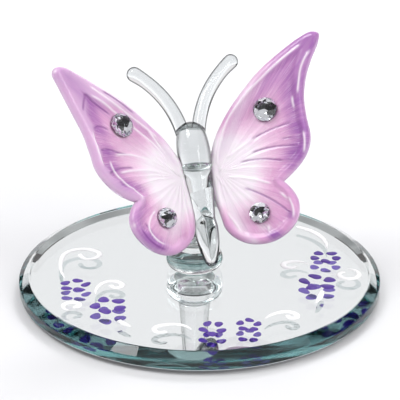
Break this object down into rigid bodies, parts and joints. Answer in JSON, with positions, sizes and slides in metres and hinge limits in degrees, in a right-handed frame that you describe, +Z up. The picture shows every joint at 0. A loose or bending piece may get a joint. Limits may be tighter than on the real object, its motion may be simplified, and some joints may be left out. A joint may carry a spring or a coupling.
{
  "type": "butterfly ornament",
  "caption": "Clear glass butterfly with pink to purple pressed glass wings and crystals, on a round bevelled mirror with painted flowers and scrolls.",
  "frame": {"origin": "centre of the mirror base on the surface that it stands on", "axes": "+Z up; -Y is the front, where the tail points; +X to the right seen from the front"},
  "size_m": [0.1016, 0.1016, 0.0691],
  "materials": {
    "mirror_glass": "polished",
    "silver_coat": "mirror",
    "backing_paint": "matte",
    "clear_bumper": "satin",
    "clear_glue": "gloss",
    "clear_glass": "polished",
    "tinted_wing_glass": "polished",
    "crystal": "polished",
    "crystal_foil": "mirror",
    "purple_enamel": "gloss",
    "white_enamel": "gloss"
  },
  "bodies": {
    "root": {"mirror_glass": "mirror_glass", "mirror_silvering": "silver_coat", "mirror_backing": "backing_paint", "bumper_feet": "clear_bumper", "foot_adhesive": "clear_glue", "pedestal": "clear_glass", "body": "clear_glass", "antenna_left": "clear_glass", "antenna_right": "clear_glass", "wing_left": "tinted_wing_glass", "wing_right": "tinted_wing_glass", "crystal_left_upper": "crystal", "crystal_foil_left_upper": "crystal_foil", "crystal_glue_left_upper": "clear_glue", "crystal_left_lower": "crystal", "crystal_foil_left_lower": "crystal_foil", "crystal_glue_left_lower": "clear_glue", "crystal_right_upper": "crystal", "crystal_foil_right_upper": "crystal_foil", "crystal_glue_right_upper": "clear_glue", "crystal_right_lower": "crystal", "crystal_foil_right_lower": "crystal_foil", "crystal_glue_right_lower": "clear_glue", "enamel_flower_left_outer": "purple_enamel", "enamel_flower_left_inner": "purple_enamel", "enamel_flower_front_left": "purple_enamel", "enamel_flower_front_right": "purple_enamel", "enamel_flower_right_back": "purple_enamel", "enamel_flower_right_front": "purple_enamel", "enamel_scrolls_left": "white_enamel", "enamel_scrolls_front": "white_enamel", "enamel_scrolls_right": "white_enamel"}
  },
  "joints": []
}
